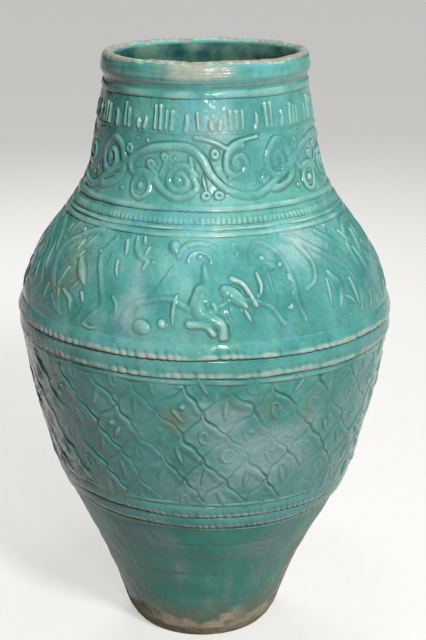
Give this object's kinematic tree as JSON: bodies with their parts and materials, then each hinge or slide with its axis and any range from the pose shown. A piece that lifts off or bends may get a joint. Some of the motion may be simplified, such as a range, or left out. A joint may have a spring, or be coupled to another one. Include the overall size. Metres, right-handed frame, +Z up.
{
  "type": "storage jar",
  "caption": "Tall turquoise-glazed storage jar with a collared neck, moulded relief on neck, shoulder and belly, nicked cordons over its joints and a narrow flat foot.",
  "frame": {"origin": "centre of the face that the jar rests on, on the jar's axis", "axes": "+Z up along the jar's axis from the foot to the mouth, +X and +Y level; the picture looks along +Y"},
  "size_m": [0.473, 0.473, 0.75],
  "materials": {
    "relief_glaze": "glossy turquoise glaze, thin and paler on the relief, pooled and darker in the hollows",
    "rim_glaze": "glossy turquoise glaze, worn to bare clay along the lip",
    "strip_glaze": "glossy turquoise glaze, worn to pinkish clay along the nicked edges",
    "lower_glaze": "thinner grey-green glaze with tool marks, ending raggedly above the foot",
    "bare_clay": "bare buff fired clay"
  },
  "bodies": {
    "root": {"base_disc": "bare_clay", "lower_wall": "lower_glaze", "belly_wall": "relief_glaze", "shoulder_wall": "relief_glaze", "neck_wall": "relief_glaze", "rim_collar": "rim_glaze", "neck_ring": "strip_glaze", "neck_roll": "strip_glaze", "neck_bead_cord": "strip_glaze", "shoulder_fillet_upper": "strip_glaze", "shoulder_fillet_lower": "strip_glaze", "shoulder_cordon": "strip_glaze", "belly_cordon": "strip_glaze", "belly_fillet": "strip_glaze", "lower_fillet": "strip_glaze", "lower_cordon_upper": "strip_glaze", "lower_cordon_lower": "strip_glaze", "foot_fillet": "strip_glaze", "base_seam_coil": "bare_clay", "lower_seam_coil": "bare_clay", "belly_seam_coil": "bare_clay", "shoulder_seam_coil": "bare_clay"}
  },
  "joints": []
}
